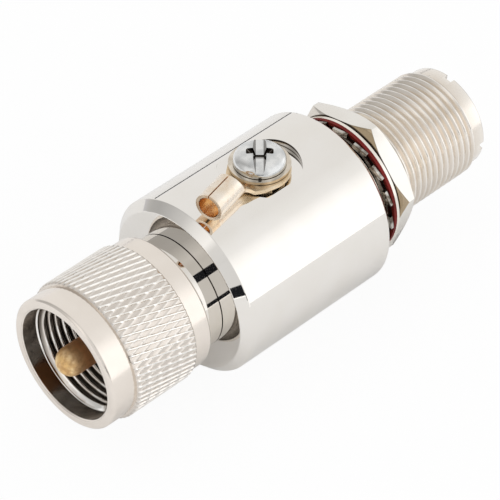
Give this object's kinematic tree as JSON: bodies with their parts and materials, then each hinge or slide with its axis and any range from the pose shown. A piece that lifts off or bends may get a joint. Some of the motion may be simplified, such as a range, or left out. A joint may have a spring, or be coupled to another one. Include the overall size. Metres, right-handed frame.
{
  "type": "lightning arrestor",
  "caption": "In-line coaxial lightning arrestor: knurled coupling ring, round housing with ground screw and ring terminal, threaded bulkhead barrel with lock nut and washers.",
  "frame": {"origin": "on the cable axis, in the plane of the housing's rear face, which seats on the panel", "axes": "+X runs along the cable axis from the coupling ring to the bulkhead barrel, +Z points from the axis to the ground screw, and +Y completes the right-handed frame"},
  "size_m": [0.071, 0.0254, 0.0294],
  "materials": {
    "polished_nickel": "mirror-polished nickel plate on brass",
    "satin_nickel": "satin nickel plate on brass",
    "bare_brass": "worn bare brass",
    "zinc_plate": "bright bluish zinc plate on steel",
    "tinned_copper": "thin tin over copper, with copper showing through",
    "brown_insulation": "moulded dark brown plastic",
    "red_rubber": "dull red rubber",
    "black_rubber": "smooth black rubber",
    "ceramic": "glazed white ceramic"
  },
  "bodies": {
    "body": {"housing": "polished_nickel", "male_shell": "satin_nickel", "male_insulator": "brown_insulation", "male_pin": "bare_brass", "inner_conductor": "bare_brass", "bulkhead_barrel": "satin_nickel", "female_insulator": "brown_insulation", "female_contact": "bare_brass", "ground_star_washer": "zinc_plate"},
    "clip": {"ring_clip": "bare_brass"},
    "ring": {"coupling_ring": "satin_nickel"},
    "washers": {"flat_washer": "polished_nickel", "gasket": "red_rubber", "star_washer": "satin_nickel"},
    "nut": {"lock_nut": "satin_nickel"},
    "under_head": {"screw_washer": "zinc_plate"},
    "screw": {"ground_screw": "zinc_plate"},
    "terminal": {"ring_terminal": "tinned_copper"},
    "tube": {"gas_tube": "ceramic", "tube_electrodes": "satin_nickel", "contact_spring": "bare_brass"},
    "cap": {"tube_cap": "satin_nickel", "cap_seal": "black_rubber"}
  },
  "joints": [
    {"name": "ring_slide", "type": "slide", "parent": "body", "child": "clip", "axis": [-1, 0, 0], "range_m": [0, 0.0016]},
    {"name": "ring_spin", "type": "hinge", "parent": "clip", "child": "ring", "pos_m": [-0.0382, 0, 0], "axis": [1, 0, 0], "continuous": true},
    {"name": "nut_travel", "type": "slide", "parent": "body", "child": "washers", "axis": [1, 0, 0], "range_m": [-0.0023, 0.0142]},
    {"name": "nut_spin", "type": "hinge", "parent": "washers", "child": "nut", "pos_m": [0.00562, 0, 0], "axis": [1, 0, 0], "range_deg": [-783, 4831]},
    {"name": "screw_travel", "type": "slide", "parent": "body", "child": "under_head", "axis": [0, 0, 1], "range_m": [0, 0.004]},
    {"name": "screw_spin", "type": "hinge", "parent": "under_head", "child": "screw", "pos_m": [-0.0122, 0, 0.0131], "axis": [0, 0, 1], "range_deg": [0, 2058]},
    {"name": "terminal_swivel", "type": "hinge", "parent": "body", "child": "terminal", "pos_m": [-0.0122, 0, 0.0124], "axis": [0, 0, 1], "continuous": true},
    {"name": "tube_travel", "type": "slide", "parent": "body", "child": "tube", "axis": [0, 0, -1], "range_m": [0, 0.0034]},
    {"name": "cap_spin", "type": "hinge", "parent": "tube", "child": "cap", "pos_m": [-0.0122, 0, -0.0101], "axis": [0, 0, -1], "range_deg": [0, 1633]}
  ],
  "couplings": [
    {"joint": "nut_spin", "follows": "nut_travel", "rad_per_m": 5937.1},
    {"joint": "screw_spin", "follows": "screw_travel", "rad_per_m": 8976},
    {"joint": "cap_spin", "follows": "tube_travel", "rad_per_m": 8377.6}
  ]
}
